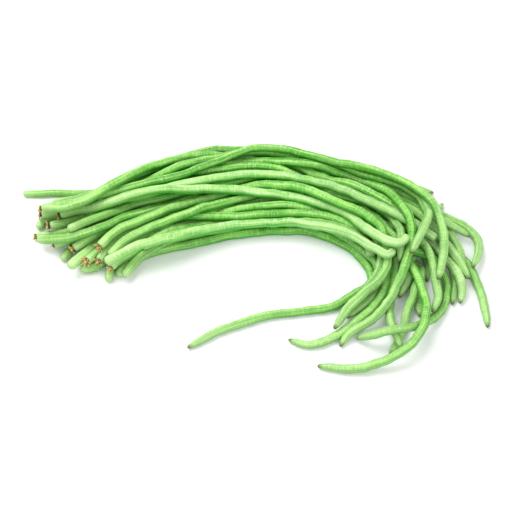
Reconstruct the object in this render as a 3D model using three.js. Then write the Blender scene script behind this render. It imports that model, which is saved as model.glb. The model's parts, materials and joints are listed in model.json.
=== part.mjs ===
// Yardlong bean bunch: 31 long thin pods lying loose on a flat surface, in one bundle that
// arches from the stem ends on the left to the drooping tips on the right.
// Millimetres, +Z up, +X along the bunch, origin on the surface under the middle of the bunch.
import * as THREE from "three";

// Driving sizes of a pod
const POD_RADIUS = 4.4;
const POD_SIDES = 8;
const SWELL = 0.035;
const SWELL_SPACING = 47;

// A pod slims by this share of its radius between these shares of its length
const SLIMMING = { by: 0.09, from: 0.03, to: 0.35 };

// Stem end: a small cap, then rings at these distances while the pod grows to its full thickness
const STEM_END = { capLength: 0.5, capShare: 0.55, ringsAt: [2.5, 7], growth: 9, share: 0.74 };

// Tapering tip: where the taper and the beak begin, and the beak's corners, each a share of the
// pod's radius and a distance from its end; the corners of a blunt tip are given the same way
const TAPER = { length: 32, share: 0.74 };
const BEAK = { length: 9, corners: [[0.4, 3.5], [0.2, 0.6], [0, 0]] };
const BLUNT_CORNERS = [[0.8, 2.5], [0.55, 0.7], [0, 0]];

// Calyx remnant that some pods keep at the stem end
const CALYX = {
  stalk: 1,
  stalkEdge: 0.25,
  stalkRadius: 1.2,
  cup: 1.8,
  rimRadius: 3.3,
  neck: 0.5,
  neckRadius: 2.6,
  lobe: 0.2,
};
const CALYX_RIM_CORNER = 3;

// Steps along a pod: a ring at least this often, and sooner where the pod has turned
const RING_STEP = 18;
const RING_TURN = THREE.MathUtils.degToRad(15);
const SHORTEST_STEP = 5;
const CLOSEST_RINGS = 3;
const ROUTE_SAMPLES = 600;

// Air left between pods that touch, and how near the surface a corner is pressed flat on it
const AIR = 0.4;
const PRESSED = 0.25;

// The view in which the routes below were read: a square picture, looking down at the surface
const VIEW = {
  pixels: 515,
  mmPerPixel: 0.944,
  distance: 1300,
  tilt: THREE.MathUtils.degToRad(55),
};

// Settling of the bundle. Each pod starts level, at "start", and sinks by "gravity" a step; "pull"
// draws it back to its route beyond its slack. Nearer than "hidden" to a later pod in the
// picture it has all its slack, and further than "shown" it has none.
const SETTLE = {
  highest: 90,
  start: 36,
  layingSteps: 400,
  looseSteps: 900,
  tightSteps: 900,
  pairSteps: 20,
  gravity: 0.07,
  pull: 0.35,
  slack: 12,
  endSlack: 1,
  endRings: 3,
  hidden: 1,
  shown: 6,
  bending: 0.05,
  reach: 8,
  overlapLeft: 0.09,
};

// Pods from the bottom of the bundle to its top. Each route is the pod's middle line in the
// picture, from stem end to tip; thickness is a factor on POD_RADIUS. Most tips taper to a beak,
// and a few are blunt. Outermost pods lie along the outline of the bundle.
const PODS = [
  {
    thickness: 0.98,
    calyx: false,
    outermost: true,
    route: [[117, 276.5], [119.5, 270.5], [125, 265], [130, 260.5], [137, 256.5], [145, 253],
      [155, 249.8], [170, 246.5], [190, 243], [210, 239.5], [230, 235.8], [250, 232.5],
      [270, 230.5], [290, 230], [305, 230.7], [322, 234.5], [340, 242], [357, 253.5],
      [368, 264.5], [374, 275], [373, 283.5], [364, 291.5], [350, 299.8], [330, 306.5],
      [310, 310], [270, 315.5], [232, 326], [187, 348]],
  },
  {
    thickness: 0.95,
    calyx: false,
    outermost: true,
    route: [[123.5, 275.8], [128, 269], [134, 262.5], [141, 256.3], [150, 250.3], [160, 245.5],
      [175, 240.5], [190, 237], [215, 230.5], [250, 224], [295, 222.5], [325, 229.5], [350, 241], [369, 257],
      [379, 277], [374, 295], [358, 309], [346, 318]],
  },
  {
    thickness: 1.08,
    calyx: false,
    route: [[79.5, 267.5], [86, 268.2], [93, 267], [102, 263.5], [118, 256.5], [145, 247], [195, 232],
      [250, 217], [295, 214.5], [335, 223], [370, 242], [395, 261], [409, 276], [415, 291], [418, 303],
      [421, 317]],
  },
  {
    thickness: 0.96,
    calyx: false,
    route: [[109.5, 281.5], [111, 274.5], [115, 267.5], [121, 262], [130, 255.5], [141, 249.5],
      [160, 241.5], [190, 232], [225, 222], [270, 211.5], [310, 213.5], [345, 227], [380, 248],
      [405, 260], [412, 270], [408.5, 282], [399, 298]],
  },
  {
    thickness: 1,
    calyx: true,
    route: [[108.5, 270.5], [112, 265.5], [118, 260], [130, 253], [150, 243.5], [180, 232],
      [215, 217.5], [255, 207.5], [300, 206], [340, 218], [375, 238], [405, 257], [418, 274],
      [413, 295], [403, 324], [391, 356]],
  },
  {
    thickness: 0.98,
    calyx: false,
    route: [[62, 260.5], [68, 250], [82, 237.5], [115, 219.5], [165, 201.5], [210, 190.5],
      [255, 184], [300, 185.5], [345, 197], [390, 215.5], [422, 233], [443, 254], [455, 282],
      [451.5, 305]],
  },
  {
    thickness: 1,
    calyx: true,
    route: [[51.5, 245.5], [66, 244], [90, 232], [130, 211.5], [180, 193.5], [225, 181.5],
      [270, 176.5], [315, 181], [360, 195.5], [405, 214.5], [440, 238], [467, 268], [482, 296],
      [488, 328]],
  },
  {
    thickness: 0.96,
    calyx: false,
    route: [[85, 228], [125, 212], [170, 197], [215, 188], [260, 184], [305, 188], [350, 201],
      [390, 220], [415, 240], [426, 262], [427, 282]],
  },
  {
    thickness: 0.8,
    calyx: false,
    outermost: true,
    route: [[22.5, 193.7], [60, 193.7], [97, 193], [120, 187], [145, 178], [175, 168],
      [215, 158.5], [260, 155.5], [305, 159], [350, 169.5], [395, 182.5], [420, 189.5],
      [434, 193]],
  },
  {
    thickness: 0.96,
    calyx: false,
    outermost: true,
    route: [[62, 208], [90, 201], [120, 188], [145, 175], [165, 163.5], [180, 157.7],
      [195, 153], [215, 150], [230, 150.6], [245, 151.5], [260, 153], [300, 160], [345, 171],
      [385, 185.5], [415, 199.5], [428, 206.5], [436, 210], [443, 203.5]],
  },
  {
    thickness: 1,
    calyx: false,
    route: [[38.5, 229], [41, 223.5], [47, 220], [60, 217], [80, 211.5], [110, 201], [155, 184],
      [200, 171], [245, 163.5], [290, 163], [335, 172], [380, 186.5], [415, 201.5], [442, 223.5],
      [458, 250], [466, 278.5]],
  },
  {
    thickness: 0.98,
    calyx: true,
    route: [[32.5, 237], [45, 234.7], [56, 233.3], [66, 231], [80, 225.5], [120, 208.5],
      [165, 189], [210, 174.5], [255, 167], [300, 168], [345, 179], [390, 197], [430, 214.5],
      [460, 224.5], [471, 231.5], [478, 244], [477.5, 256], [472.5, 268.5]],
  },
  {
    thickness: 1.08,
    calyx: false,
    route: [[70, 268], [75, 262.5], [80, 257.3], [88, 249.7], [95, 243.5], [103, 237.5],
      [112, 231.5], [130, 222], [165, 209], [210, 197.5], [255, 191.5], [300, 192.5],
      [345, 204.5], [390, 224], [425, 241], [450, 263], [462, 289], [459.5, 304]],
  },
  {
    thickness: 0.98,
    calyx: false,
    route: [[38, 239.5], [50, 239.8], [60, 239.5], [70, 238], [80, 234.5], [90, 230.5],
      [100, 226.5], [115, 219.5], [130, 212.5], [150, 206], [175, 198], [205, 190], [240, 179],
      [280, 171.5], [325, 176], [370, 192], [410, 211], [445, 224], [470.5, 237]],
  },
  {
    thickness: 1,
    calyx: true,
    route: [[45.3, 226.5], [52, 225.8], [62, 224.5], [75, 220.7], [90, 216], [110, 208.5], [130, 201.5],
      [152, 195], [195, 185], [240, 178.5], [275, 180], [315, 188.5], [350, 201.5], [375, 220.5],
      [387, 246], [390, 268], [388.5, 296], [392, 322], [402, 352]],
  },
  {
    thickness: 0.97,
    calyx: false,
    route: [[67.5, 230], [75, 227], [85, 223.5], [95, 219.5], [105, 215], [115, 210.5],
      [128, 205], [140, 200.5], [152, 196.5], [190, 189], [225, 181.5], [265, 175], [310, 180],
      [350, 194], [385, 210], [412, 223], [424, 237], [419, 251], [407, 266]],
  },
  {
    thickness: 1,
    calyx: true,
    route: [[83.5, 262.5], [90, 259.8], [98, 253.5], [112, 241.5], [145, 227], [190, 212.5], [235, 201.5],
      [280, 198], [325, 205], [370, 223], [410, 241], [437, 258], [447, 284], [444, 307],
      [427, 320.5], [395, 331.5], [356, 338]],
  },
  {
    thickness: 1.05,
    calyx: true,
    route: [[69.3, 250.8], [76, 245.5], [84, 240.5], [92, 236], [100, 231.7], [112, 226],
      [130, 217.5], [160, 204.5], [190, 197.5], [225, 189], [265, 182], [310, 183], [355, 195],
      [400, 215], [440, 242], [464, 269], [470, 279.5]],
  },
  {
    thickness: 0.98,
    calyx: false,
    route: [[119, 253], [124, 250], [130, 246.5], [140, 241.5], [150, 237], [160, 232.8],
      [175, 227.5], [190, 223.2], [200, 221], [215, 217.7], [230, 214.5], [240, 212],
      [250, 209.3], [260, 207.2], [270, 206], [283, 205.5], [315, 209.5], [348, 224.5],
      [373, 247], [386, 272], [380.5, 295], [358, 320.5], [330, 339], [308, 344.5],
      [288, 339.5]],
  },
  {
    thickness: 1.05,
    calyx: true,
    route: [[95.5, 263.3], [99, 258.8], [103, 254], [109.5, 246.5], [117, 240], [127, 232.5], [139, 226],
      [152, 221.5], [175, 219.5], [205, 217.5], [240, 216], [280, 213.7], [315, 214.5],
      [345, 222.5], [376, 239.5], [402, 260.5], [420, 282], [426, 307], [419, 333], [394, 357],
      [357, 368], [317, 366]],
  },
  {
    thickness: 0.98,
    calyx: false,
    route: [[109, 257.5], [113.5, 252.3], [120, 246], [126, 240.7], [132, 237], [140, 232.8], [150, 227.7],
      [162, 222.5], [175, 218.5], [187, 214.5], [205, 208.5], [225, 202], [245, 197],
      [265, 192.5], [295, 192], [325, 201.5], [355, 215], [376, 238], [383, 257], [378, 272],
      [368, 286], [356, 299], [346, 307.5]],
  },
  {
    thickness: 1.05,
    calyx: true,
    route: [[96.5, 249.3], [101, 245.6], [106, 240.5], [112, 234.8], [120, 229.3], [130, 224.7],
      [140, 220.3], [150, 216.5], [160, 212.8], [170, 209.5], [180, 206.7], [190, 203.5], [200, 200.3],
      [210, 197.5], [225, 193.5], [260, 187], [296, 187], [330, 198.5], [360, 215], [381, 241],
      [387.5, 265], [381, 278], [366, 293], [351, 305], [334, 329.5]],
  },
  {
    thickness: 1.08,
    calyx: false,
    bluntTip: true,
    outermost: true,
    route: [[140, 246], [165, 238.5], [195, 232], [225, 226.5], [262, 222.5], [300, 223],
      [335, 227.5], [356, 236], [368, 246], [373.5, 256.5]],
  },
  {
    thickness: 1.05,
    calyx: false,
    bluntTip: true,
    route: [[104.5, 262], [112, 258.8], [120, 254.3], [130, 249.3], [140, 245], [150, 241.8],
      [165, 238], [187, 233.5], [200, 230.7], [220, 227], [240, 224.5], [260, 223], [285, 222.5],
      [310, 224.5], [338, 229], [361, 239.5], [372, 246], [383, 252.5], [391.5, 255],
      [397, 249.5]],
  },
  {
    thickness: 1,
    calyx: true,
    route: [[37, 214.8], [50, 213.7], [60, 212.5], [75, 210], [100, 204], [130, 196], [150, 191.5],
      [170, 186.8], [185, 182.7], [195, 179.8], [205, 177.3], [215, 174.9], [225, 173.2],
      [245, 171.6], [260, 171.8], [285, 174], [300, 177], [320, 183.3], [340, 190], [352, 193.8],
      [362, 197], [372, 200.8], [380, 204.8], [388, 211], [394, 219], [398.5, 229], [401, 240],
      [401.5, 251], [399.5, 263]],
  },
  {
    thickness: 0.98,
    calyx: false,
    outermost: true,
    route: [[45, 205.7], [53, 207], [62, 207], [80, 202.8], [97, 195.8], [105, 191], [115, 184.3],
      [130, 176], [140, 170.7], [150, 166.2], [160, 163], [170, 160.5], [185, 157.5],
      [200, 156.7], [215, 156.3], [230, 156.5], [245, 157.8], [260, 160.5], [285, 165.3],
      [300, 168.5], [320, 175], [340, 181.8], [358, 188], [375, 195], [397, 208.5], [415, 233],
      [425, 249], [434, 267], [437.5, 284], [437.5, 300], [432.5, 313]],
  },
  {
    thickness: 1.06,
    calyx: false,
    bluntTip: true,
    route: [[98, 206], [125, 199.5], [165, 190], [210, 179.5], [255, 174], [300, 178.5],
      [345, 190.5], [385, 209], [405, 220], [418, 227.5], [428, 233.5], [438, 239.5]],
  },
  {
    thickness: 1.02,
    calyx: false,
    route: [[51.5, 204], [62, 202.3], [75, 199.8], [85, 197], [95, 193.5], [105, 190.3],
      [115, 186.5], [125, 182.3], [135, 177.7], [145, 173], [155, 169], [165, 166], [180, 162.5],
      [200, 159.8], [220, 158], [240, 156], [255, 154.5], [270, 155.2], [285, 157.5], [300, 161],
      [320, 167], [344, 174], [368, 183.2], [392, 195], [404, 209], [411, 225], [411.5, 236],
      [408.5, 246], [405, 256], [402.5, 270], [397, 286], [388, 302.5], [377, 315.5],
      [363, 326.5], [349, 334.5], [343.5, 339], [340, 347]],
  },
  {
    thickness: 1.03,
    calyx: false,
    route: [[60, 208.5], [95, 200], [130, 188], [150, 179.2], [162, 174.8], [175, 170],
      [190, 163.5], [215, 158.5], [245, 153.5], [280, 154], [310, 159.5], [345, 169], [380, 179],
      [408, 188.5], [424, 203], [427.5, 214], [424, 228], [418.5, 238], [410.5, 254]],
  },
  {
    thickness: 0.97,
    calyx: true,
    route: [[38, 209.3], [50, 208.7], [62, 206.7], [75, 204], [85, 201], [95, 198],
      [105, 195.3], [115, 192.2], [130, 188], [150, 183.2], [170, 178.5], [185, 173.8],
      [195, 170], [206, 165.9], [220, 160.5], [237, 152.9], [250, 148.5], [262, 147.2],
      [285, 148.8], [300, 151.5], [340, 163], [380, 172.3], [415, 187.5], [433, 204], [442, 225],
      [444.5, 245], [442.5, 262], [438, 280]],
  },
  {
    thickness: 1.09,
    calyx: true,
    bluntTip: true,
    route: [[55.3, 214], [59, 213.6], [66, 212.3], [75, 210.2], [85, 208], [95, 205.5], [105, 202.4],
      [115, 199.3], [128, 195.3], [140, 192.2], [150, 190.4], [165, 189.5], [185, 189.7],
      [210, 189.3], [225, 189], [240, 189.7], [250, 190.9], [260, 192.2], [280, 194.8],
      [300, 198.3], [320, 203.6], [330, 206.9], [340, 211], [350, 215.9], [360, 221.3],
      [370, 227.8], [380, 234.8], [386, 239], [392, 242.6], [398, 243.6], [403, 241.3],
      [407, 235.5]],
  },
];

// Skin colours, palest for the last pod, which lies on top of all the others
const SKIN = { dark: 0x4f9440, light: 0x86c266, palest: 0xa9d68a };
const SKIN_ROUGHNESS = 0.42;

const SUPPORT_SHARES = [0, 0.25, 0.5, 0.75, 1];
const UP = new THREE.Vector3(0, 0, 1);
const FORWARD = new THREE.Vector3(0, Math.cos(VIEW.tilt), -Math.sin(VIEW.tilt));
const VIEW_UP = new THREE.Vector3(0, Math.sin(VIEW.tilt), Math.cos(VIEW.tilt));
const EYE = FORWARD.clone().multiplyScalar(-VIEW.distance);

// The point at a given height that shows at a point of the picture
function seenAt(x, y, height) {
  const scale = VIEW.mmPerPixel / VIEW.distance;
  const across = (x - VIEW.pixels / 2) * scale;
  const upward = (VIEW.pixels / 2 - y) * scale;
  const ray = FORWARD.clone().addScaledVector(VIEW_UP, upward);
  ray.x += across;
  const travel = (height - EYE.z) / ray.z;
  return EYE.clone().addScaledVector(ray, travel);
}

// Places along a route, closer together where it turns
function spacedAlong(route) {
  const points = route.map(([x, y]) => new THREE.Vector3(x, y, 0));
  const curve = new THREE.CatmullRomCurve3(points, false, "centripetal");
  const samples = curve.getSpacedPoints(ROUTE_SAMPLES);
  const ground = samples.map((p) => seenAt(p.x, p.y, POD_RADIUS));
  const heading = (i) => Math.atan2(ground[i + 1].y - ground[i].y, ground[i + 1].x - ground[i].x);
  const chosen = [0];
  let length = 0;
  let turn = 0;
  for (let i = 1; i < samples.length - 1; i += 1) {
    length += ground[i].distanceTo(ground[i - 1]);
    let change = heading(i) - heading(i - 1);
    change = Math.atan2(Math.sin(change), Math.cos(change));
    turn += Math.abs(change);
    if (length >= RING_STEP || (turn >= RING_TURN && length >= SHORTEST_STEP)) {
      chosen.push(i);
      length = 0;
      turn = 0;
    }
  }
  if (length < SHORTEST_STEP) chosen.pop();
  chosen.push(samples.length - 1);
  return chosen.map((i) => samples[i]);
}

// How thick a pod is at a distance from its stem end, as a factor on its own radius
function fullness(pod, along, length) {
  const swell = 1 - SWELL * (0.5 + 0.5 * Math.cos((2 * Math.PI * along) / SWELL_SPACING));
  const slimmed = THREE.MathUtils.smoothstep(along / length, SLIMMING.from, SLIMMING.to);
  const body = swell * (1 - SLIMMING.by * slimmed);
  if (pod.bluntTip) return body;
  const toTip = THREE.MathUtils.clamp((length - along) / TAPER.length, 0, 1);
  return body * (TAPER.share + (1 - TAPER.share) * Math.sin((toTip * Math.PI) / 2));
}

// Growing of the blunt stem end to the pod's full thickness
function shoulder(along) {
  const grown = THREE.MathUtils.clamp(along / STEM_END.growth, 0, 1);
  return STEM_END.share + (1 - STEM_END.share) * Math.sin((grown * Math.PI) / 2);
}

// Nearest points of two segments, as fractions along each
function nearestFractions(a0, a1, b0, b1) {
  const u = a1.clone().sub(a0);
  const v = b1.clone().sub(b0);
  const w = a0.clone().sub(b0);
  const uu = u.dot(u);
  const uv = u.dot(v);
  const vv = v.dot(v);
  const uw = u.dot(w);
  const vw = v.dot(w);
  const flat = uu * vv - uv * uv;
  let s = flat > 1e-9 ? THREE.MathUtils.clamp((uv * vw - vv * uw) / flat, 0, 1) : 0.5;
  const t = THREE.MathUtils.clamp((uv * s + vw) / vv, 0, 1);
  s = THREE.MathUtils.clamp((uv * t - uw) / uu, 0, 1);
  return [s, t];
}

// A pod ready to be laid: where it is seen, how thick it is at each ring, and its flat layout
function startPod(spec, index) {
  const seen = spacedAlong(spec.route);
  const radius = POD_RADIUS * spec.thickness;
  const flat = seen.map((p) => seenAt(p.x, p.y, radius));
  const along = [0];
  for (let i = 1; i < flat.length; i += 1) along.push(along[i - 1] + flat[i].distanceTo(flat[i - 1]));
  const length = along[along.length - 1];
  const radii = along.map((s) => radius * fullness(spec, s, length));
  const name = `pod_${String(index + 1).padStart(2, "0")}`;
  return { ...spec, name, radius, seen, flat, radii, points: [] };
}

// Height at which a ball, coming down its line of sight, first meets a pod that is already laid
function meetingHeight(low, high, reach, pod, k) {
  const [s, t] = nearestFractions(low, high, pod.points[k], pod.points[k + 1]);
  const onSight = low.clone().lerp(high, s);
  const onPod = pod.points[k].clone().lerp(pod.points[k + 1], t);
  const apart = onSight.distanceTo(onPod);
  const room = reach + THREE.MathUtils.lerp(pod.radii[k], pod.radii[k + 1], t) + AIR;
  if (apart >= room) return 0;
  const sight = high.clone().sub(low).normalize();
  const axis = pod.points[k + 1].clone().sub(pod.points[k]).normalize();
  const crossing = t > 0 && t < 1 ? sight.clone().cross(axis).length() : 1;
  return onSight.z + (Math.sqrt(room * room - apart * apart) / crossing) * sight.z;
}

// Lowest heights that a new pod may have at points along it
function supportsUnder(pod, laid) {
  const supports = [];
  for (let k = 0; k < pod.seen.length - 1; k += 1) {
    for (const share of SUPPORT_SHARES) {
      const p = pod.seen[k].clone().lerp(pod.seen[k + 1], share);
      const low = seenAt(p.x, p.y, 0);
      const high = seenAt(p.x, p.y, SETTLE.highest);
      const reach = THREE.MathUtils.lerp(pod.radii[k], pod.radii[k + 1], share);
      let height = reach;
      for (const other of laid) {
        for (let j = 0; j < other.points.length - 1; j += 1) {
          height = Math.max(height, meetingHeight(low, high, reach, other, j));
        }
      }
      supports.push({ k, share, height });
    }
  }
  return supports;
}

// Change that a springy rod makes to a row of values: each point moves to undo the bend there
function bendingForce(values, k) {
  const last = values.length - 1;
  const at = (i) => values[Math.min(last, Math.max(0, i))];
  if (k === 0 || k === last) return 0;
  return -(at(k - 2) - 4 * at(k - 1) + 6 * at(k) - 4 * at(k + 1) + at(k + 2));
}

// Lays one pod on those already there: it sinks, stays springy, and is held up by its supports
function layPod(pod, laid) {
  const supports = supportsUnder(pod, laid);
  let heights = pod.seen.map(() => SETTLE.start);
  for (let step = 0; step < SETTLE.layingSteps; step += 1) {
    const before = heights;
    heights = before.map((h, k) => h - SETTLE.gravity * 2 + SETTLE.bending * bendingForce(before, k));
    for (const { k, share, height } of supports) {
      const lift = height - THREE.MathUtils.lerp(heights[k], heights[k + 1], share);
      if (lift <= 0) continue;
      const weight = (1 - share) ** 2 + share ** 2;
      heights[k] += (lift * (1 - share)) / weight;
      heights[k + 1] += (lift * share) / weight;
    }
  }
  pod.points = pod.seen.map((p, k) => seenAt(p.x, p.y, heights[k]));
}

// Pairs of steps of different pods that are near enough to touch
function nearPairs(pods) {
  const steps = [];
  pods.forEach((pod, owner) => {
    for (let k = 0; k < pod.points.length - 1; k += 1) {
      const a = pod.points[k];
      const b = pod.points[k + 1];
      const middle = a.clone().lerp(b, 0.5);
      steps.push({ pod, owner, k, middle, half: a.distanceTo(b) / 2 });
    }
  });
  const pairs = [];
  for (let i = 0; i < steps.length; i += 1) {
    for (let j = i + 1; j < steps.length; j += 1) {
      if (steps[i].owner === steps[j].owner) continue;
      const limit = steps[i].half + steps[j].half + 2 * POD_RADIUS + SETTLE.reach;
      if (steps[i].middle.distanceToSquared(steps[j].middle) < limit * limit) {
        pairs.push([steps[i], steps[j]]);
      }
    }
  }
  return pairs;
}

// Pushes two touching steps apart, each end by its share; returns how far they overlapped
function separate(one, two) {
  const a0 = one.pod.points[one.k];
  const a1 = one.pod.points[one.k + 1];
  const b0 = two.pod.points[two.k];
  const b1 = two.pod.points[two.k + 1];
  const [s, t] = nearestFractions(a0, a1, b0, b1);
  const push = a0.clone().lerp(a1, s).sub(b0.clone().lerp(b1, t));
  const apart = push.length();
  const ra = THREE.MathUtils.lerp(one.pod.radii[one.k], one.pod.radii[one.k + 1], s);
  const rb = THREE.MathUtils.lerp(two.pod.radii[two.k], two.pod.radii[two.k + 1], t);
  const overlap = ra + rb + AIR - apart;
  if (overlap <= 0) return 0;
  const weight = (1 - s) ** 2 + s ** 2 + (1 - t) ** 2 + t ** 2;
  push.multiplyScalar(overlap / (apart * weight));
  a0.addScaledVector(push, 1 - s);
  a1.addScaledVector(push, s);
  b0.addScaledVector(push, t - 1);
  b1.addScaledVector(push, -t);
  return overlap;
}

// Distance in the picture from a point to the nearest part of a pod's route
function pictureDistance(point, pod) {
  let nearest = Infinity;
  for (let k = 0; k < pod.seen.length - 1; k += 1) {
    const step = new THREE.Line3(pod.seen[k], pod.seen[k + 1]);
    const onStep = step.closestPointToPoint(point, true, new THREE.Vector3());
    nearest = Math.min(nearest, onStep.distanceTo(point));
  }
  return nearest;
}

// How far each ring of a pod may slide from its place in the picture: the nearer it lies to the
// middle line of a later pod there, the more, because what is hidden is only a guess. The ends
// of a pod, and all of one on the outside of the bundle, may hardly slide.
function setSlack(pods) {
  pods.forEach((pod, i) => {
    const above = pods.slice(i + 1);
    const last = pod.seen.length - 1;
    pod.slack = pod.seen.map((point, k) => {
      const nearEnd = k < SETTLE.endRings || k > last - SETTLE.endRings;
      const most = pod.outermost || nearEnd ? SETTLE.endSlack : SETTLE.slack;
      const clear = Math.min(...above.map((other) => pictureDistance(point, other)));
      return most * (1 - THREE.MathUtils.smoothstep(clear, SETTLE.hidden, SETTLE.shown));
    });
  });
}

// Lets a pod sink, keep its own bend, and drift back to where it is seen
function relax(pod) {
  const shift = pod.points.map((p, k) => p.clone().sub(pod.flat[k]));
  for (const axis of ["x", "y", "z"]) {
    const values = shift.map((v) => v[axis]);
    pod.points.forEach((p, k) => {
      p[axis] += SETTLE.bending * bendingForce(values, k);
    });
  }
  pod.points.forEach((p, k) => {
    p.z -= SETTLE.gravity;
    const home = seenAt(pod.seen[k].x, pod.seen[k].y, p.z);
    const away = p.distanceTo(home);
    if (away > pod.slack[k]) p.lerp(home, SETTLE.pull * (1 - pod.slack[k] / away));
  });
}

// Lowest place of a ring's middle: its lower flat side then lies on the surface
function keepAbove(pod) {
  const flatSide = Math.cos(Math.PI / POD_SIDES);
  pod.points.forEach((p, k) => {
    p.z = Math.max(p.z, pod.radii[k] * flatSide);
  });
}

// Lets the whole bundle settle until no two pods touch
function settleBundle(pods) {
  let pairs = [];
  for (let step = 0; step < SETTLE.looseSteps + SETTLE.tightSteps; step += 1) {
    if (step % SETTLE.pairSteps === 0) pairs = nearPairs(pods);
    if (step < SETTLE.looseSteps) pods.forEach(relax);
    let worst = 0;
    for (const [one, two] of pairs) worst = Math.max(worst, separate(one, two));
    pods.forEach(keepAbove);
    if (step > SETTLE.looseSteps && worst < SETTLE.overlapLeft) break;
  }
}

// Corners of the outline at a pod's tip: a tapering beak, or a blunt rounded end
function tipOutline(pod, length) {
  const corners = pod.bluntTip ? BLUNT_CORNERS : BEAK.corners;
  return corners.map(([share, fromEnd]) => [pod.radius * share, length - fromEnd]);
}

// Corners of the outline of a calyx remnant, from its broken stalk to its neck
function calyxOutline() {
  const rim = CALYX.stalk + CALYX.cup;
  return [
    [0, 0],
    [CALYX.stalkRadius, CALYX.stalkEdge],
    [CALYX.stalkRadius, CALYX.stalk],
    [CALYX.rimRadius, rim],
    [CALYX.neckRadius, rim + CALYX.neck],
  ];
}

// Outline of a straightened pod, from stem end to tip: pairs of radius and distance
function podOutline(pod, along) {
  const length = along[along.length - 1];
  const outline = [];
  let start = 0;
  const skinAt = (s) => {
    outline.push([pod.radius * fullness(pod, s, length) * shoulder(s - start), s]);
  };
  if (pod.calyx) {
    start = CALYX.stalk + CALYX.cup;
    outline.push(...calyxOutline());
  } else {
    outline.push([0, 0], [pod.radius * STEM_END.capShare, STEM_END.capLength]);
  }
  const shoulders = STEM_END.ringsAt.map((s) => start + s);
  shoulders.forEach(skinAt);
  const beakStart = length - BEAK.length;
  const first = shoulders[shoulders.length - 1] + CLOSEST_RINGS;
  along.filter((s) => s > first && s < beakStart - CLOSEST_RINGS).forEach(skinAt);
  skinAt(beakStart);
  outline.push(...tipOutline(pod, length));
  return outline;
}

// Ring-wise directions of a settled pod: along it, sideways and up
function directionsAt(pod, along, s) {
  const points = pod.points;
  let k = 0;
  while (k < along.length - 2 && s > along[k + 1]) k += 1;
  const share = THREE.MathUtils.clamp((s - along[k]) / (along[k + 1] - along[k]), 0, 1);
  const heading = (i) => {
    const before = points[Math.max(0, i - 1)];
    const after = points[Math.min(points.length - 1, i + 1)];
    const here = points[i];
    const incoming = here.clone().sub(before).normalize();
    const outgoing = after.clone().sub(here).normalize();
    return incoming.add(outgoing).normalize();
  };
  const ahead = heading(k).lerp(heading(k + 1), share).normalize();
  const side = ahead.clone().cross(UP).normalize();
  const up = side.clone().cross(ahead);
  const middle = points[k].clone().lerp(points[k + 1], share);
  return { middle, side, up };
}

// Bends a straight pod, turned on a lathe, onto its settled middle line
function bendPod(geometry, pod, along) {
  const position = geometry.getAttribute("position");
  for (let i = 0; i < position.count; i += 1) {
    const { middle, side, up } = directionsAt(pod, along, position.getY(i));
    middle.addScaledVector(side, position.getX(i)).addScaledVector(up, position.getZ(i));
    const height = middle.z < PRESSED ? 0 : middle.z;
    position.setXYZ(i, middle.x, middle.y, height);
  }
}

// Draws every other corner of the calyx rim outward into a lobe
function lobeCalyx(geometry, rings) {
  const position = geometry.getAttribute("position");
  for (let turn = 0; turn <= POD_SIDES; turn += 1) {
    const i = turn * rings + CALYX_RIM_CORNER;
    const factor = 1 + (turn % 2 === 0 ? CALYX.lobe : -CALYX.lobe);
    position.setX(i, position.getX(i) * factor);
    position.setZ(i, position.getZ(i) * factor);
  }
}

// Skin of one pod: greener and darker low in the bundle, paler higher up
function skinOf(index) {
  const colour = new THREE.Color(SKIN.dark);
  if (index === PODS.length - 1) colour.set(SKIN.palest);
  else colour.lerp(new THREE.Color(SKIN.light), index / (PODS.length - 2));
  return new THREE.MeshStandardMaterial({ color: colour, roughness: SKIN_ROUGHNESS, metalness: 0 });
}

// One whole pod as a closed mesh
function makePod(pod, index) {
  const along = [0];
  for (let i = 1; i < pod.points.length; i += 1) {
    along.push(along[i - 1] + pod.points[i].distanceTo(pod.points[i - 1]));
  }
  const outline = podOutline(pod, along).map(([radius, s]) => new THREE.Vector2(radius, s));
  const geometry = new THREE.LatheGeometry(outline, POD_SIDES, Math.PI / POD_SIDES);
  if (pod.calyx) lobeCalyx(geometry, outline.length);
  bendPod(geometry, pod, along);
  geometry.computeVertexNormals();
  const mesh = new THREE.Mesh(geometry, skinOf(index));
  mesh.name = pod.name;
  return mesh;
}

const pods = [];
for (const [index, spec] of PODS.entries()) {
  const pod = startPod(spec, index);
  layPod(pod, pods);
  pods.push(pod);
}
setSlack(pods);
settleBundle(pods);

const group = new THREE.Group();
group.add(...pods.map(makePod));

// The bunch is set with the middle of its outer box over the origin
const middle = new THREE.Box3().setFromObject(group).getCenter(new THREE.Vector3());
group.position.set(-middle.x, -middle.y, 0);
group.updateMatrixWorld(true);

export default group;
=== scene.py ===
"""Yardlong bean bunch: fine pods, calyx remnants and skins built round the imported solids."""

import json
import math
import random

import bpy
import numpy as np
from mathutils import Matrix, Vector


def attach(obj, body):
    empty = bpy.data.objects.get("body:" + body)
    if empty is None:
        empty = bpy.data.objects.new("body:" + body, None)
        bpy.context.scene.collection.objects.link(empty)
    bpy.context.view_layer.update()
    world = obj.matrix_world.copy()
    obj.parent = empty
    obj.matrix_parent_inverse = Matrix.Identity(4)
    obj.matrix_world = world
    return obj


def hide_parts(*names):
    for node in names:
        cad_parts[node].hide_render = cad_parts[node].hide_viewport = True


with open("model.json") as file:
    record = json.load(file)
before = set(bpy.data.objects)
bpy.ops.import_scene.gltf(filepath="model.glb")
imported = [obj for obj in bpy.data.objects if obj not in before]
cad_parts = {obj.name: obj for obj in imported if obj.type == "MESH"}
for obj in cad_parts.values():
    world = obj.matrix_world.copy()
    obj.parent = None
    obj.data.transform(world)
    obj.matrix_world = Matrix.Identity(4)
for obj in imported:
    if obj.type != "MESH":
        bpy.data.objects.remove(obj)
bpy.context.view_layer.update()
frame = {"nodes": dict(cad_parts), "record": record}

MM = 0.001
TURN = 2 * math.pi

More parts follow.
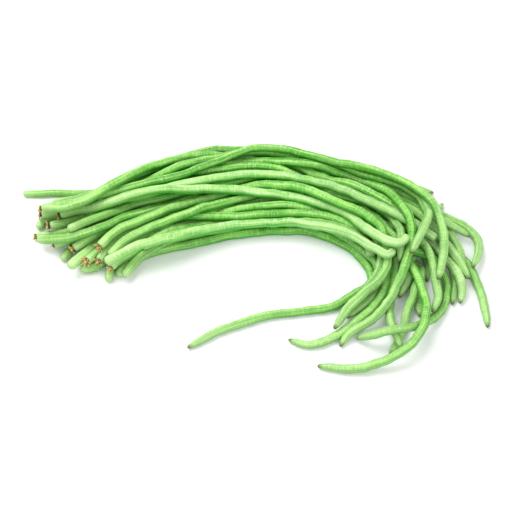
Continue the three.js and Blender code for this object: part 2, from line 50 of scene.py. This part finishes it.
# The photograph's view: a square picture whose middle looks at TARGET
PICTURE_PIXELS = 515
MM_PER_PIXEL = 0.944
VIEW_DISTANCE = 1300 * MM
VIEW_TILT = math.radians(55)
TARGET = Vector((8.11 * MM, -0.56 * MM, 0))

# Fineness of a pod's mesh, and the least distance between two rings that its line is drawn through
STATION_STEP = 1.6 * MM
SIDES = 28
ANGLES = np.arange(SIDES) / SIDES * TURN
RING_GAP = 4 * MM

# Shape of a pod, as lengths from its ends and shares of its radius
SHOULDER_LENGTH = 9 * MM
END_ROUNDING = 3.2 * MM
END_SHARE = 0.86
TAPER_LENGTH = 32 * MM
TAPER_SHARE = 0.74
SLIMMING = 0.09
SLIMMED_FROM = 0.03
SLIMMED_TO = 0.35
BEAK_LENGTH = 9 * MM
BEAK_SHARE = 0.42
TIP_ROUNDING = 1.6 * MM
SEED_SPACING = 12.5 * MM
SEEDS_START = 22 * MM
SEEDS_END = 20 * MM
SEED_SWELL = 0.13
SWELL = 0.06
SWELL_SPACING = 26 * MM
FULLNESS = 1.06
FLATTENING = 0.035
SUTURE_DEPTH = 0.06
SUTURE_WIDTH = 0.17
SEAM_TWIST = 2.5
WOBBLE = 0.8 * MM
WOBBLE_SPACING = 26 * MM
KINK = 0.7 * MM
KINK_SPACING = 10 * MM
CALM_LENGTH = 30 * MM
LEAST_HEIGHT = 0.02 * MM

# Skin colours of each slot (deep, middle, light), and what they turn to at the ends. BLUNT_BROWNING
# keeps a blunt tip from browning as far as a beak does, and SKIN_SPREAD gives each pod its own
# stretch of the skin's pattern.
SKINS = {
    "pod_green": ((0.045, 0.31, 0.012), (0.21, 0.58, 0.075), (0.57, 0.85, 0.32)),
    "pod_pale": ((0.12, 0.44, 0.05), (0.38, 0.7, 0.2), (0.72, 0.88, 0.48)),
    "pod_deep": ((0.026, 0.23, 0.008), (0.11, 0.44, 0.036), (0.36, 0.7, 0.17)),
}
STEM_HALF_COLOUR = (0.6, 0.8, 0.34)
STEM_END_COLOUR = (0.58, 0.78, 0.38)
TIP_HALF_COLOUR = (0.66, 0.84, 0.44)
DRY_TIP_COLOUR = (0.07, 0.06, 0.025)
BLUNT_BROWNING = 3 * MM
SKIN_SPREAD = 40

# Calyx remnants. The outlines are turned round the pod's line, as pairs of distance along it and
# radius, both in millimetres.
TEETH = 7
TOOTH_WIDTH = 2.1 * MM
TOOTH_THICKNESS = 0.5 * MM
TOOTH_RINGS = 7
TOOTH_ROOT = 1.3 * MM
TOOTH_CUP = 0.45 * MM
CALYX_SIDES = 14
CALYX_REACH = 2.9 * MM
CALYX_DEPTH = 1.5 * MM
CUP_OUTLINE = ((1.6, 1.2), (0.3, 2.9), (-0.1, 3.1), (-0.3, 2.2))
# The cup's low values colour it with the nearly black painted shade
CUP_PAINTED_SHADE = (0, 0, 0, 0.1)
STALK_OUTLINE = ((0.0, 1.3), (-0.9, 1.2), (-1.9, 1.0), (-2.3, 0.8))
STALK_DRYNESS = (0.2, 0.5, 0.9, 1)
CALYX_SIZE = 1.25
SMALL_CALYXES = {"pod_05": 0.85, "pod_07": 0.75, "pod_12": 0.85, "pod_30": 0.9}
# Nearly black painted shade for the cup, the folds and the tooth roots
FOLD_PAINTED_SHADE_COLOUR = (0.05, 0.028, 0.006)
GOLDEN_COLOUR = (0.8, 0.58, 0.15)
BLEACHED_COLOUR = (0.92, 0.82, 0.6)
CRINKLE_COLOUR = (0.12, 0.06, 0.015)

# Studio: each light's place, size and power, and the pale floor
KEY_LIGHT = (Vector((-0.45, 0.4, 1.15)), 1.0, 15.5)
FILL_LIGHT = (Vector((0.5, -0.9, 1.0)), 1.2, 8)
SKY_STRENGTH = 0.64
FLOOR_HALF_WIDTH = 3.0
FLOOR_HEIGHT = -0.3 * MM
FLOOR_COLOUR = (0.93, 0.93, 0.93, 1)


def smooth_share(value, low, high):
    """0 below low, 1 above high, and a smooth climb between."""
    share = np.clip((value - low) / (high - low), 0, 1)
    return share * share * (3 - 2 * share)


def rings_of(node):
    """Middles and radii of a pod's rings, stem end first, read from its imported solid."""
    mesh = node.data
    place_of, places, where = {}, [], []
    for vertex in mesh.vertices:
        key = tuple(round(c * 1e5) for c in vertex.co)
        if key not in place_of:
            place_of[key] = len(places)
            places.append(vertex.co.copy())
        where.append(place_of[key])
    near = [set() for _ in places]
    for edge in mesh.edges:
        a, b = (where[v] for v in edge.vertices)
        if a != b:
            near[a].add(b)
            near[b].add(a)
    poles = [i for i, others in enumerate(near) if len(others) == 8]
    stem = min(poles, key=lambda i: places[i].x)
    levels, seen = [[stem]], {stem}
    while len(seen) < len(places):
        level = sorted({j for i in levels[-1] for j in near[i]} - seen)
        seen.update(level)
        levels.append(level)
    middles = [sum((places[i] for i in level), Vector()) / len(level) for level in levels]
    radii = [
        sum((places[i] - middle).length for i in level) / len(level)
        for level, middle in zip(levels, middles)
    ]
    return middles, radii


def lengths_along(line):
    """How far along a line each of its points is."""
    steps = np.linalg.norm(np.diff(line, axis=0), axis=1)
    return np.concatenate(([0], np.cumsum(steps)))


def smooth_line(points):
    """Even points on a smooth curve through the given ones, and how far along it each is."""
    kept = [points[0]]
    for point in points[1:-1]:
        if (point - kept[-1]).length > RING_GAP and (point - points[-1]).length > RING_GAP:
            kept.append(point)
    kept.append(points[-1])
    knots = np.array(kept, float)
    chord = lengths_along(knots)
    slopes = np.gradient(knots, chord, axis=0)
    fine = np.linspace(0, chord[-1], int(chord[-1] / (STATION_STEP / 4)))
    k = np.clip(np.searchsorted(chord, fine, side="right") - 1, 0, len(chord) - 2)
    span = (chord[k + 1] - chord[k])[:, None]
    t = (fine[:, None] - chord[k][:, None]) / span
    line = (
        (2 * t**3 - 3 * t**2 + 1) * knots[k]
        + (t**3 - 2 * t**2 + t) * span * slopes[k]
        + (3 * t**2 - 2 * t**3) * knots[k + 1]
        + (t**3 - t**2) * span * slopes[k + 1]
    )
    travelled = lengths_along(line)
    stations = np.linspace(0, travelled[-1], int(travelled[-1] / STATION_STEP) + 1)
    even = np.stack([np.interp(stations, travelled, line[:, i]) for i in range(3)], axis=1)
    return even, stations


def waves(stations, spacing, draw):
    """A smooth random wave between -1 and 1 along a pod, turning about every spacing."""
    count = int(stations[-1] / spacing) + 4
    heights = [draw.uniform(-1, 1) for _ in range(count)]
    knots = (np.arange(count) - 1 + draw.random()) * spacing
    fine = np.interp(stations, knots, heights)
    width = max(3, int(spacing / STATION_STEP))
    bell = np.hanning(width + 2)[1:-1]
    padded = np.pad(fine, width, mode="edge")
    return np.convolve(padded, bell / bell.sum(), mode="same")[width:-width]


def seed_bumps(stations, draw):
    """Gentle swelling over each seed, stronger in the tip half."""
    swelling = np.zeros_like(stations)
    place = SEEDS_START + draw.random() * SEED_SPACING
    length = stations[-1]
    while place < length - SEEDS_END:
        size = draw.uniform(0.5, 1.0)
        swelling += size * np.exp(-(((stations - place) / (SEED_SPACING * 0.3)) ** 2))
        place += SEED_SPACING * draw.uniform(0.85, 1.25)
    strength = 0.35 + 0.65 * smooth_share(stations, 0.3 * length, 0.7 * length)
    return SEED_SWELL * strength * swelling


def profile(stations, blunt_tip, draw):
    """Radius along a pod, as a share of its full radius."""
    from_stem = stations
    from_tip = stations[-1] - stations
    growing = END_SHARE + (1 - END_SHARE) * np.sin(
        np.clip(from_stem / SHOULDER_LENGTH, 0, 1) * math.pi / 2
    )
    rounding = np.clip(1 - from_stem / END_ROUNDING, 0, 1)
    blunt_end = np.sqrt(1 - rounding**2)
    slimmed = 1 - SLIMMING * smooth_share(stations / stations[-1], SLIMMED_FROM, SLIMMED_TO)
    if blunt_tip:
        tip_end = np.sqrt(1 - np.clip(1 - from_tip / END_ROUNDING, 0, 1) ** 2)
    else:
        taper = TAPER_SHARE + (1 - TAPER_SHARE) * np.sin(
            np.clip(from_tip / TAPER_LENGTH, 0, 1) * math.pi / 2
        )
        beak = BEAK_SHARE + (1 - BEAK_SHARE) * np.clip(from_tip / BEAK_LENGTH, 0, 1) ** 0.8
        rounding = np.clip(1 - from_tip / TIP_ROUNDING, 0, 1)
        tip_end = taper * beak * np.sqrt(1 - rounding**2)
    swell = 1 + SWELL * waves(stations, SWELL_SPACING, draw)
    seeds = 1 - SEED_SWELL * 0.5 + seed_bumps(stations, draw)
    return FULLNESS * slimmed * growing * blunt_end * tip_end * swell * seeds


def mesh_object(name, points, faces, material):
    mesh = bpy.data.meshes.new(name)
    mesh.from_pydata([tuple(p) for p in points], [], faces)
    mesh.polygons.foreach_set("use_smooth", [True] * len(mesh.polygons))
    mesh.materials.append(material)
    mesh.update()
    piece = bpy.data.objects.new(name, mesh)
    bpy.context.scene.collection.objects.link(piece)
    return piece


def quads_between(base, rings, sides):
    """Quads between rings of points, the first of which starts at base."""
    quads = []
    for i in range(rings - 1):
        for j in range(sides):
            a, b = base + i * sides + j, base + i * sides + (j + 1) % sides
            quads.append((a, a + sides, b + sides, b))
    return quads


def tube_faces(rings):
    """A pod's faces: quads between its rings, and a fan to a single point at each end."""
    faces = quads_between(0, rings, SIDES)
    first, last = rings * SIDES, rings * SIDES + 1
    top = (rings - 1) * SIDES
    for j in range(SIDES):
        faces.append((first, j, (j + 1) % SIDES))
        faces.append((last, top + (j + 1) % SIDES, top + j))
    return faces


def sideways_and_up(line):
    """Unit vectors sideways and up at each station of a line."""
    ahead = np.gradient(line, axis=0)
    ahead /= np.linalg.norm(ahead, axis=1)[:, None]
    side = np.cross(ahead, (0, 0, 1))
    side /= np.linalg.norm(side, axis=1)[:, None]
    return side, np.cross(side, ahead)


def add_float(mesh, name, values):
    attribute = mesh.attributes.new(name, "FLOAT", "POINT")
    attribute.data.foreach_set("value", np.asarray(values, np.float32).ravel())


def add_distances(mesh, stations, blunt_tip):
    """How far each point is from its pod's stem end and from its tip."""
    inner = stations[1:-1]
    from_tip = np.concatenate((np.repeat(stations[-1] - inner, SIDES), (stations[-1], 0)))
    if blunt_tip:
        from_tip += BLUNT_BROWNING
    add_float(mesh, "from_tip", from_tip)
    add_float(mesh, "from_stem", np.concatenate((np.repeat(inner, SIDES), (0, stations[-1]))))


def add_straight_places(mesh, stations, radius, spread):
    """Where each point lies on its pod laid straight, spread away from the other pods."""
    shape = (len(stations) - 2, SIDES)
    straight = np.stack(
        (
            np.broadcast_to(np.sin(ANGLES), shape) * radius + spread,
            np.broadcast_to(np.cos(ANGLES), shape) * radius,
            np.broadcast_to(stations[1:-1, None], shape),
        ),
        axis=2,
    ).reshape(-1, 3)
    ends = np.array(((spread, 0, 0), (spread, 0, stations[-1])))
    places = np.concatenate((straight, ends)).astype(np.float32)
    attribute = mesh.attributes.new("straight", "FLOAT_VECTOR", "POINT")
    attribute.data.foreach_set("vector", places.ravel())


def section_and_seams(stations, draw):
    """A pod's section as a share of its radius, and how strongly its two seams show, all round."""
    seam = draw.uniform(0, TURN) + draw.uniform(-SEAM_TWIST, SEAM_TWIST) * stations / stations[-1]
    turned = ANGLES[None, :] - seam[:, None]
    off_back = np.abs((turned + math.pi) % TURN - math.pi)
    off_belly = math.pi - off_back
    groove = np.exp(-((off_back / SUTURE_WIDTH) ** 2))
    ridge = np.exp(-((off_belly / (SUTURE_WIDTH * 1.2)) ** 2))
    relief = SUTURE_DEPTH * groove + 0.5 * SUTURE_DEPTH * ridge
    section = 1 + FLATTENING * np.cos(2 * turned) - relief
    return section, np.clip(groove + 0.7 * ridge, 0, 1)


def make_pod(name, middles, radius, blunt_tip, material, draw):
    """One fine pod along the middles of its solid's rings."""
    line, stations = smooth_line(middles)
    side, up = sideways_and_up(line)
    from_end = np.stack((stations, stations[-1] - stations))
    calm = smooth_share(from_end, 0, CALM_LENGTH).prod(axis=0)
    sway = WOBBLE * waves(stations, WOBBLE_SPACING, draw)
    sway += KINK * waves(stations, KINK_SPACING, draw)
    line = line + side * (calm * sway)[:, None]
    radii = radius * profile(stations, blunt_tip, draw)
    section, seams = section_and_seams(stations, draw)

    reach = radii[:, None] * section
    around_side = np.sin(ANGLES)[None, :, None] * side[:, None, :]
    around_up = np.cos(ANGLES)[None, :, None] * up[:, None, :]
    points = line[:, None, :] + reach[:, :, None] * (around_side + around_up)
    points = points[1:-1].reshape(-1, 3)
    points = np.concatenate((points, line[:1], line[-1:]))
    points[:, 2] = np.maximum(points[:, 2], LEAST_HEIGHT)

    piece = mesh_object(name, points, tube_faces(len(stations) - 2), material)
    # How far each point faces upwards; the skin uses it for painted shade on the undersides
    facing = (points[:-2, 2] - np.repeat(line[1:-1, 2], SIDES)) / np.repeat(radii[1:-1], SIDES)
    add_float(piece.data, "suture", np.concatenate((seams[1:-1].ravel(), (0, 0))))
    add_float(piece.data, "facing", np.concatenate((facing, (0, 0))))
    add_distances(piece.data, stations, blunt_tip)
    add_straight_places(piece.data, stations, radius, draw.uniform(0, SKIN_SPREAD))
    return piece


def new_material(name):
    material = bpy.data.materials.new(name)
    material.use_nodes = True
    nodes = material.node_tree.nodes
    return material, nodes, material.node_tree.links, nodes["Principled BSDF"]


def attribute_node(nodes, name):
    node = nodes.new("ShaderNodeAttribute")
    node.attribute_name = name
    return node


def stretched_noise(nodes, links, source, scale, detail=3.0):
    mapping = nodes.new("ShaderNodeMapping")
    mapping.inputs["Scale"].default_value = scale
    links.new(source, mapping.inputs["Vector"])
    noise = nodes.new("ShaderNodeTexNoise")
    noise.inputs["Scale"].default_value = 1.0
    noise.inputs["Detail"].default_value = detail
    noise.inputs["Roughness"].default_value = 0.55
    links.new(mapping.outputs["Vector"], noise.inputs["Vector"])
    return noise.outputs["Fac"]


def mix_colour(nodes, links, factor, first, second):
    """Mix of two colours, each a socket or a plain colour."""
    mix = nodes.new("ShaderNodeMix")
    mix.data_type = "RGBA"
    sockets = {s.identifier: s for s in mix.inputs}
    links.new(factor, sockets["Factor_Float"])
    for key, colour in (("A_Color", first), ("B_Color", second)):
        if isinstance(colour, tuple):
            sockets[key].default_value = (*colour, 1)
        else:
            links.new(colour, sockets[key])
    return next(s for s in mix.outputs if s.identifier == "Result_Color")


def remap(nodes, links, source, low, high, to_low=0.0, to_high=1.0):
    node = nodes.new("ShaderNodeMapRange")
    keys = ("From Min", "From Max", "To Min", "To Max")
    for key, value in zip(keys, (low, high, to_low, to_high)):
        node.inputs[key].default_value = value
    links.new(source, node.inputs["Value"])
    return node.outputs["Result"]


def math_node(nodes, links, operation, first, second):
    node = nodes.new("ShaderNodeMath")
    node.operation = operation
    for socket, value in zip(node.inputs, (first, second)):
        if isinstance(value, (int, float)):
            socket.default_value = value
        else:
            links.new(value, socket)
    return node.outputs["Value"]


def add_bump(nodes, links, shader, height, strength, distance):
    bump = nodes.new("ShaderNodeBump")
    bump.inputs["Strength"].default_value = strength
    bump.inputs["Distance"].default_value = distance
    links.new(height, bump.inputs["Height"])
    links.new(bump.outputs["Normal"], shader.inputs["Normal"])


def pod_skin(name, deep, middle, light):
    """Satin bean skin: mottled, streaked lengthwise, finely ribbed across, with suture lines and
    painted shade on the undersides.
    """
    material, nodes, links, shader = new_material(name)
    straight = attribute_node(nodes, "straight").outputs["Vector"]
    # Scales are per metre: across the pod twice, then along it
    mottle = stretched_noise(nodes, links, straight, (150, 150, 45))
    streak = stretched_noise(nodes, links, straight, (900, 900, 28))
    ribs = stretched_noise(nodes, links, straight, (160, 160, 900), detail=2.0)
    specks = stretched_noise(nodes, links, straight, (700, 700, 420), detail=4.0)

    ground = mix_colour(nodes, links, remap(nodes, links, mottle, 0.32, 0.68), deep, middle)
    streaked = remap(nodes, links, streak, 0.42, 0.72, 0.0, 0.65)
    skin = mix_colour(nodes, links, streaked, ground, light)
    ribbed = remap(nodes, links, ribs, 0.48, 0.7, 0.0, 0.55)
    skin = mix_colour(nodes, links, ribbed, skin, light)
    veins = stretched_noise(nodes, links, straight, (1300, 1300, 14), detail=2.0)
    dark_veins = remap(nodes, links, veins, 0.55, 0.68, 0.0, 0.65)
    skin = mix_colour(nodes, links, dark_veins, skin, tuple(c * 0.7 for c in deep))
    dark_specks = remap(nodes, links, specks, 0.66, 0.8, 0.0, 0.35)
    skin = mix_colour(nodes, links, dark_specks, skin, tuple(c * 0.55 for c in deep))
    suture = attribute_node(nodes, "suture").outputs["Fac"]
    line = math_node(nodes, links, "MULTIPLY", suture, 0.9)
    skin = mix_colour(nodes, links, line, skin, tuple(c * 0.7 for c in deep))
    # Painted shade: points that face down turn towards a darker, more saturated green, as if in
    # shade
    facing = attribute_node(nodes, "facing").outputs["Fac"]
    painted_shade_share = remap(nodes, links, facing, -0.15, 0.8, 0.92, 0.0)
    painted_underside_shade = (deep[0] * 0.25, deep[1] * 0.95, deep[2] * 0.3)
    skin = mix_colour(nodes, links, painted_shade_share, skin, painted_underside_shade)

    stem = attribute_node(nodes, "from_stem").outputs["Fac"]
    pale_start = remap(nodes, links, stem, 0.0, 110 * MM, 0.28, 0.0)
    skin = mix_colour(nodes, links, pale_start, skin, STEM_HALF_COLOUR)
    pale_end = remap(nodes, links, stem, 0.0, 12 * MM, 0.5, 0.0)
    skin = mix_colour(nodes, links, pale_end, skin, STEM_END_COLOUR)
    tip = attribute_node(nodes, "from_tip").outputs["Fac"]
    pale_half = remap(nodes, links, tip, 20 * MM, 130 * MM, 0.3, 0.0)
    skin = mix_colour(nodes, links, pale_half, skin, TIP_HALF_COLOUR)
    browning = remap(nodes, links, tip, 0.8 * MM, 5.5 * MM, 0.85, 0.0)
    skin = mix_colour(nodes, links, browning, skin, DRY_TIP_COLOUR)
    links.new(skin, shader.inputs["Base Color"])

    gloss = remap(nodes, links, mottle, 0.3, 0.7, 0.36, 0.5)
    links.new(gloss, shader.inputs["Roughness"])
    shader.inputs["Specular IOR Level"].default_value = 0.22
    relief = math_node(nodes, links, "ADD", math_node(nodes, links, "MULTIPLY", ribs, 0.9), streak)
    add_bump(nodes, links, shader, relief, 0.5, 0.45 * MM)
    return material


def calyx_skin():
    """Dry papery skin: painted shade nearly black in the folds, the cup and the tooth roots, golden
    on the teeth and bleached at the stalk.
    """
    material, nodes, links, shader = new_material("calyx_brown")
    place = nodes.new("ShaderNodeNewGeometry").outputs["Position"]
    crinkle = stretched_noise(nodes, links, place, (900, 900, 900), detail=5.0)
    patches = stretched_noise(nodes, links, place, (420, 420, 420), detail=2.0)
    dryness_and_shade = attribute_node(nodes, "dryness_and_shade").outputs["Fac"]
    patchy = remap(nodes, links, patches, 0.3, 0.7, -0.45, 0.45)
    uneven = math_node(nodes, links, "ADD", dryness_and_shade, patchy)
    out_of_painted_shade = remap(nodes, links, uneven, 0.05, 0.6)
    golden = mix_colour(nodes, links, out_of_painted_shade, FOLD_PAINTED_SHADE_COLOUR, GOLDEN_COLOUR)
    bleaching = remap(nodes, links, uneven, 0.8, 1.25)
    dry = mix_colour(nodes, links, bleaching, golden, BLEACHED_COLOUR)
    crinkled = remap(nodes, links, crinkle, 0.42, 0.6, 0.45, 0.0)
    dry = mix_colour(nodes, links, crinkled, dry, CRINKLE_COLOUR)
    links.new(dry, shader.inputs["Base Color"])
    shader.inputs["Roughness"].default_value = 0.75
    add_bump(nodes, links, shader, crinkle, 0.6, 0.3 * MM)
    return material


def tooth_points(start, outward, ahead, across, size, draw):
    """A dry pointed calyx tooth as rings of four points: it spreads out and curls forward."""
    reach = size * CALYX_REACH * draw.uniform(0.8, 1.15)
    curl = CALYX_DEPTH * draw.uniform(0.5, 1.4)
    sway = draw.uniform(-0.5, 0.5) * MM
    points, shades = [], []
    for i in range(TOOTH_RINGS):
        share = i / (TOOTH_RINGS - 1)
        centre = start + outward * (reach * share**0.8) - ahead * (curl * share**1.7)
        centre += across * (sway * share * share)
        width = TOOTH_WIDTH / 2 * (1 - share**1.8) + 0.2 * MM
        thick = TOOTH_THICKNESS / 2
        face = (ahead + outward * share).normalized()
        for u, v in ((-1, -1), (1, -1), (1, 1), (-1, 1)):
            cup = TOOTH_CUP * draw.uniform(0.3, 1)
            points.append(centre + across * (u * width) + face * (v * thick) - ahead * cup)
            shades.append(share)
    return points, shades


def tooth_faces(base):
    """A tooth's faces: quads between its rings, and one to close each end."""
    faces = []
    for i in range(TOOTH_RINGS - 1):
        for j in range(4):
            a, b = base + i * 4 + j, base + i * 4 + (j + 1) % 4
            faces.append((a, b, b + 4, a + 4))
    end = base + (TOOTH_RINGS - 1) * 4
    faces.append((base + 3, base + 2, base + 1, base))
    faces.append((end, end + 1, end + 2, end + 3))
    return faces


def turned_points(root, ahead, side, up, outline, size, draw):
    """Rings of points round an axis, from pairs of distance along it and radius."""
    points = []
    for along, full_radius in outline:
        radius = size * full_radius
        for j in range(CALYX_SIDES):
            angle = j / CALYX_SIDES * TURN
            spoke = side * math.cos(angle) + up * math.sin(angle)
            uneven = radius * MM * draw.uniform(0.9, 1.1)
            points.append(root + ahead * (along * MM) + spoke * uneven)
    return points


def turned_faces(base, rings):
    """Faces of a turned shape, closed at both ends."""
    faces = quads_between(base, rings, CALYX_SIDES)
    end = base + (rings - 1) * CALYX_SIDES
    faces.append(tuple(base + j for j in range(CALYX_SIDES)))
    faces.append(tuple(end + j for j in reversed(range(CALYX_SIDES))))
    return faces


def make_calyx(name, root, ahead, size, material, draw):
    """Dried calyx at a stem end: a shrunken cup coloured dark with painted shade, dry teeth round
    it and a broken stalk.
    """
    helper = Vector((0, 0, 1)) if abs(ahead.z) < 0.9 else Vector((1, 0, 0))
    side = ahead.cross(helper).normalized()
    up = side.cross(ahead)
    points, shades, faces = [], [], []
    twist = draw.uniform(0, TURN)
    for k in range(TEETH):
        angle = twist + k * TURN / TEETH + draw.uniform(-0.22, 0.22)
        outward = side * math.cos(angle) + up * math.sin(angle)
        across = ahead.cross(outward).normalized()
        start = root + outward * (size * TOOTH_ROOT) - ahead * (0.5 * MM)
        tooth, tooth_shades = tooth_points(start, outward, ahead, across, size, draw)
        faces.extend(tooth_faces(len(points)))
        points.extend(tooth)
        # Tooth roots start low, so they take the painted shade of the folds
        shades.extend(0.25 + 0.75 * share for share in tooth_shades)
    for outline, dryness_and_shade in ((CUP_OUTLINE, CUP_PAINTED_SHADE), (STALK_OUTLINE, STALK_DRYNESS)):
        faces.extend(turned_faces(len(points), len(outline)))
        points.extend(turned_points(root, ahead, side, up, outline, size, draw))
        shades.extend(value for value in dryness_and_shade for _ in range(CALYX_SIDES))
    piece = mesh_object(name, points, faces, material)
    add_float(piece.data, "dryness_and_shade", shades)
    lowest = min(v.co.z for v in piece.data.vertices)
    if lowest < LEAST_HEIGHT:
        piece.data.transform(Matrix.Translation((0, 0, LEAST_HEIGHT - lowest)))
    return piece


def place_camera():
    ahead = Vector((0, math.cos(VIEW_TILT), -math.sin(VIEW_TILT)))
    up = Vector((0, math.sin(VIEW_TILT), math.cos(VIEW_TILT)))
    data = bpy.data.cameras.new("camera")
    camera = bpy.data.objects.new("camera", data)
    bpy.context.scene.collection.objects.link(camera)
    turned = Matrix((Vector((1, 0, 0)), up, -ahead)).transposed()
    camera.matrix_world = Matrix.Translation(TARGET - ahead * VIEW_DISTANCE) @ turned.to_4x4()
    half_width = PICTURE_PIXELS * MM_PER_PIXEL * MM / 2
    data.angle = 2 * math.atan(half_width / VIEW_DISTANCE)
    bpy.context.scene.camera = camera


def soft_light(name, place, size, power):
    data = bpy.data.lights.new(name, "AREA")
    data.energy = power
    data.size = size
    lamp = bpy.data.objects.new(name, data)
    lamp.location = place
    lamp.rotation_euler = (TARGET - lamp.location).to_track_quat("-Z", "Y").to_euler()
    bpy.context.scene.collection.objects.link(lamp)


def place_lights():
    soft_light("key_light", *KEY_LIGHT)
    soft_light("fill_light", *FILL_LIGHT)
    world = bpy.data.worlds.new("studio")
    world.use_nodes = True
    background = world.node_tree.nodes["Background"]
    background.inputs["Color"].default_value = (1, 1, 1, 1)
    background.inputs["Strength"].default_value = SKY_STRENGTH
    bpy.context.scene.world = world
    bpy.context.scene.view_settings.view_transform = "Standard"


def place_floor():
    half, height = FLOOR_HALF_WIDTH, FLOOR_HEIGHT
    signs = ((-1, -1), (1, -1), (1, 1), (-1, 1))
    corners = [(x * half, y * half, height) for x, y in signs]
    material, _, _, shader = new_material("studio_floor")
    shader.inputs["Base Color"].default_value = FLOOR_COLOUR
    shader.inputs["Roughness"].default_value = 0.9
    mesh_object("floor", corners, [(0, 1, 2, 3)], material)


def make_bunch():
    skins = {slot: pod_skin(slot, *colours) for slot, colours in SKINS.items()}
    brown = calyx_skin()
    slots = {part["node"]: part["material_slot"] for part in frame["record"]["subparts"]}
    for number, name in enumerate(sorted(frame["nodes"])):
        draw = random.Random(number + 1)
        middles, radii = rings_of(frame["nodes"][name])
        # A calyx is a rim on the solid, wider than the flesh behind it, and a blunt tip is nearly
        # as thick as the pod
        has_calyx = radii[3] > radii[4]
        flesh_start = 4 if has_calyx else 0
        slot, radius = slots[name], max(radii)
        blunt_tip = radii[-3] > 0.7 * radius
        flesh = middles[flesh_start:]
        pod = make_pod(f"bean_{name}", flesh, radius, blunt_tip, skins[slot], draw)
        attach(pod, "root")
        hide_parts(name)
        if has_calyx:
            ahead = (middles[5] - middles[3]).normalized()
            size = SMALL_CALYXES.get(name, CALYX_SIZE)
            calyx = make_calyx(f"calyx_{name}", flesh[0], ahead, size, brown, draw)
            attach(calyx, "root")


place_camera()
place_lights()
place_floor()
make_bunch()
